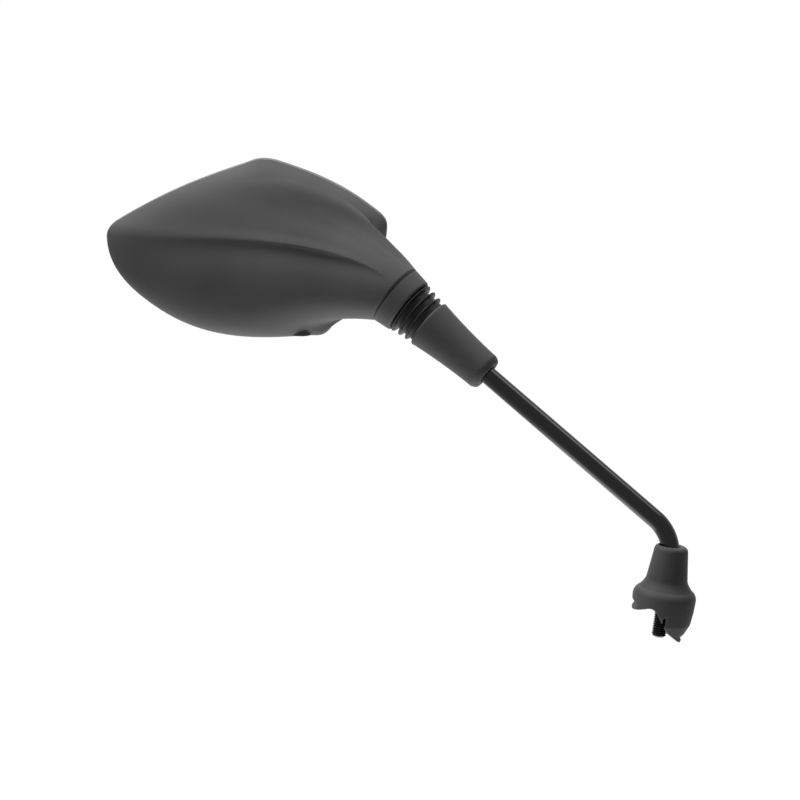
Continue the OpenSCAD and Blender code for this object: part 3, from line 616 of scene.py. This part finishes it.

# ---------------------------------------------------------------- neck boot
# A tapered sleeve on the stem, and bellows in three pieces
rib_start, rib_pitch, rib_count = 1.5, 4.35, 3
rib_tip, rib_root = 0.8, 1.3  # thinner than the CAD source's 0.9 and 1.9
rib_first_d, rib_step_d, tip_turn, tip_steps = 31.6, 1.3, 80, 8
rib_foot, rib_foot_round, rib_foot_rise = 0.5, 0.12, 0.06
groove_d, wall, skirt_d, boot_fit = 25.0, 1.3, 22.0, 0.1
sleeve_top_d, sleeve_low_d, sleeve_length = 28.6, 21.3, 43.5
sleeve_grip, sleeve_bevel, sleeve_edge, sleeve_taper = 11.0, 2.6, 1.0, 1.75
sleeve_from, sleeve_to, sleeve_rows = 0.06, 0.935, 30  # shares of the sleeve's length
grip_bevel, grip_ramp, mouth_length, sleeve_lap = 0.3, 2, 1, 0.4
edge_from, edge_to, edge_steps = 85, 8, 8  # degrees round the sleeve's upper edge
boot_gap, boot_overlap, boot_sides = 0.3, 0.02, 96
collar_low = seam_height - collar_height
boot_start = collar_low - boot_gap
rib_centres = [collar_low - rib_start - i * rib_pitch for i in range(rib_count)]
sleeve_start = collar_low - rib_start - rib_count * rib_pitch + sleeve_lap
sleeve_end = sleeve_start - sleeve_length
boot_inner = skirt_d / 2 + boot_fit
grip_r = stem_d / 2 + boot_fit


def sleeve_r(s):
    """The sleeve's radius at a share s of the way down."""
    return (sleeve_low_d + (sleeve_top_d - sleeve_low_d) * (1 - s) ** sleeve_taper) / 2


cuts = [boot_start] + [
    (rib_centres[i] + rib_centres[i + 1]) / 2 for i in range(rib_count - 1)
] + [sleeve_start]


def rib(i):
    """One rib between two groove floors, from the head's side to the sleeve's."""
    z, r, root = rib_centres[i], (rib_first_d - i * rib_step_d) / 2, groove_d / 2
    foot = [
        (root, rib_root / 2 + rib_foot),
        (root + rib_foot_round, rib_root / 2 + rib_foot_round),
        (root + rib_foot, rib_root / 2 - rib_foot_rise),
    ]
    rows = [(root, cuts[i])] + [(out, z + side) for out, side in foot]
    rows += arc(r - rib_tip / 2, z, rib_tip / 2, tip_turn, -tip_turn, tip_steps)
    rows += [(out, z - side) for out, side in reversed(foot)] + [(root, cuts[i + 1])]
    return rows


# The sleeve's lower end: how far in from its surface, and how far up from its end
sleeve_tip = [(0.1, sleeve_bevel), (0.45, sleeve_bevel - 0.9), (1.2, 0.5), (1.6, 0.15), (2.2, 0)]
shares = np.linspace(sleeve_from, sleeve_to, sleeve_rows)
sleeve_profile = (
    [(groove_d / 2, sleeve_start + boot_overlap), (groove_d / 2 + rib_foot, sleeve_start)]
    + arc(sleeve_r(0) - sleeve_edge, sleeve_start - sleeve_edge, sleeve_edge,
          edge_from, edge_to, edge_steps)
    + [(sleeve_r(s), sleeve_start - s * sleeve_length) for s in shares]
    + [(sleeve_low_d / 2 - inset, sleeve_end + rise) for inset, rise in sleeve_tip]
    + [
        (grip_r + grip_bevel, sleeve_end),
        (grip_r, sleeve_end + grip_bevel),
        (grip_r, sleeve_end + sleeve_grip),
        (sleeve_low_d / 2 - 2 * wall, sleeve_end + sleeve_grip + grip_ramp),
        (boot_inner, sleeve_start - mouth_length),
        (boot_inner, sleeve_start + boot_overlap),
    ]
)
sleeve = lathe("neck_sleeve", sleeve_profile, at_ball, sides=boot_sides, smooth=30)
paint(sleeve, rubber)
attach(sleeve, "stem")
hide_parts("neck_boot")

chain = [("upper_liner", "head"), ("lower_liner", "upper_liner"), ("stem", "lower_liner")]
for i, (low_body, high_body) in enumerate(chain):
    top, low = cuts[i], cuts[i + 1]
    rows = rib(i) + [(boot_inner, top + (low - top) * t) for t in (1, 0.75, 0.5, 0.25, 0)]
    piece = lathe(f"neck_bellows_{i + 1}", rows, at_ball, sides=boot_sides, smooth=40)
    # the darker rubber on the bellows is painted shade for their grooves
    paint(piece, bellows_shaded_rubber)
    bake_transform(piece)

# ---------------------------------------------------------------- floor, light, camera
floor_half, floor_z = 3.0, -0.6  # metres
floor_pale, floor_glow, world_fill = 0.6, 0.92, 0.08
floor_mesh = bpy.data.meshes.new("floor")
floor_mesh.from_pydata(
    [(x * floor_half, y * floor_half, floor_z) for x, y in ((-1, -1), (1, -1), (1, 1), (-1, 1))],
    [],
    [(0, 1, 2, 3)],
)
floor = bpy.data.objects.new("floor", floor_mesh)
bpy.context.scene.collection.objects.link(floor)


def seen_by(nodes, links):
    """1 to camera, glossy and transmission rays, and 0 to the rays that light the object."""
    path = nodes.new("ShaderNodeLightPath")
    first = nodes.new("ShaderNodeMath")
    first.operation = "MAXIMUM"
    links.new(path.outputs["Is Camera Ray"], first.inputs[0])
    links.new(path.outputs["Is Glossy Ray"], first.inputs[1])
    both = nodes.new("ShaderNodeMath")
    both.operation = "MAXIMUM"
    links.new(first.outputs[0], both.inputs[0])
    links.new(path.outputs["Is Transmission Ray"], both.inputs[1])
    return both.outputs[0]


def floor_material(name):
    """White where it is seen or mirrored, darker in the object's shadow, and pale to light."""
    m, nodes, links = new_material(name)
    out = nodes.new("ShaderNodeOutputMaterial")
    pale = nodes.new("ShaderNodeBsdfDiffuse")
    pale.inputs["Color"].default_value = (floor_pale, floor_pale, floor_pale, 1)
    glow = nodes.new("ShaderNodeEmission")
    glow.inputs["Color"].default_value = (1, 1, 1, 1)
    strength = nodes.new("ShaderNodeMath")
    strength.operation = "MULTIPLY"
    strength.inputs[1].default_value = floor_glow
    links.new(seen_by(nodes, links), strength.inputs[0])
    links.new(strength.outputs[0], glow.inputs["Strength"])
    both = nodes.new("ShaderNodeAddShader")
    links.new(pale.outputs["BSDF"], both.inputs[0])
    links.new(glow.outputs["Emission"], both.inputs[1])
    links.new(both.outputs["Shader"], out.inputs["Surface"])
    return m


floor.data.materials.append(floor_material("floor_white"))

world = bpy.data.worlds.new("studio")
bpy.context.scene.world = world
world.use_nodes = True
wn, wl = world.node_tree.nodes, world.node_tree.links
wn.clear()
w_out = wn.new("ShaderNodeOutputWorld")
w_mix = wn.new("ShaderNodeMixShader")
w_fill = wn.new("ShaderNodeBackground")
w_fill.inputs["Color"].default_value = (1, 1, 1, 1)
w_fill.inputs["Strength"].default_value = world_fill
w_white = wn.new("ShaderNodeBackground")
w_white.inputs["Color"].default_value = (1, 1, 1, 1)
w_white.inputs["Strength"].default_value = 1.0
wl.new(seen_by(wn, wl), w_mix.inputs["Fac"])
wl.new(w_fill.outputs["Background"], w_mix.inputs[1])
wl.new(w_white.outputs["Background"], w_mix.inputs[2])
wl.new(w_mix.outputs["Shader"], w_out.inputs["Surface"])


def area_light(name, place, target, size, power):
    light = bpy.data.lights.new(name, "AREA")
    light.energy = power
    light.shape = "RECTANGLE"
    light.size = size
    light.size_y = size
    obj = bpy.data.objects.new(name, light)
    obj.location = place
    obj.rotation_euler = (Vector(target) - Vector(place)).to_track_quat("-Z", "Y").to_euler()
    bpy.context.scene.collection.objects.link(obj)


middle = (-0.12, 0.04, 0.09)
area_light("key", (-0.80, 0.02, 1.15), middle, 0.8, 23)
area_light("side", (0.36, 0.14, 1.15), middle, 0.5, 3.5)
area_light("below", (-0.15, 0.05, -0.5), middle, 0.7, 4)
area_light("rear", (-0.3, 1.2, 0.7), middle, 0.9, 4)

# The camera stands as the photograph's did: 1.5 m away, 10 degrees above, rolled 7.5
distance, scale, elevation, roll = 1500.0, 0.54, 10.0, 7.5
# The frame's origin and the middle of the 800 px picture, in pixels
origin_u, origin_v, middle_px = 663.7, 600.4, 400
right = np.array([1.0, 0.0, 0.0])
up = np.array([0.0, math.sin(rad(elevation)), math.cos(rad(elevation))])
forward = np.array([0.0, math.cos(rad(elevation)), -math.sin(rad(elevation))])
cam_x = math.cos(rad(roll)) * right + math.sin(rad(roll)) * up
cam_y = math.cos(rad(roll)) * up - math.sin(rad(roll)) * right
target = -(origin_u - middle_px) * scale * cam_x + (origin_v - middle_px) * scale * cam_y
eye = (target - distance * forward) * MM
camera_data = bpy.data.cameras.new("camera")
camera_data.sensor_width = 36.0
camera_data.lens = 125.0
camera_data.clip_end = 20.0
camera = bpy.data.objects.new("camera", camera_data)
camera.matrix_world = matrix_of(cam_x, cam_y, -forward, eye)
bpy.context.scene.collection.objects.link(camera)
bpy.context.scene.camera = camera

bpy.context.scene.view_settings.view_transform = "Standard"

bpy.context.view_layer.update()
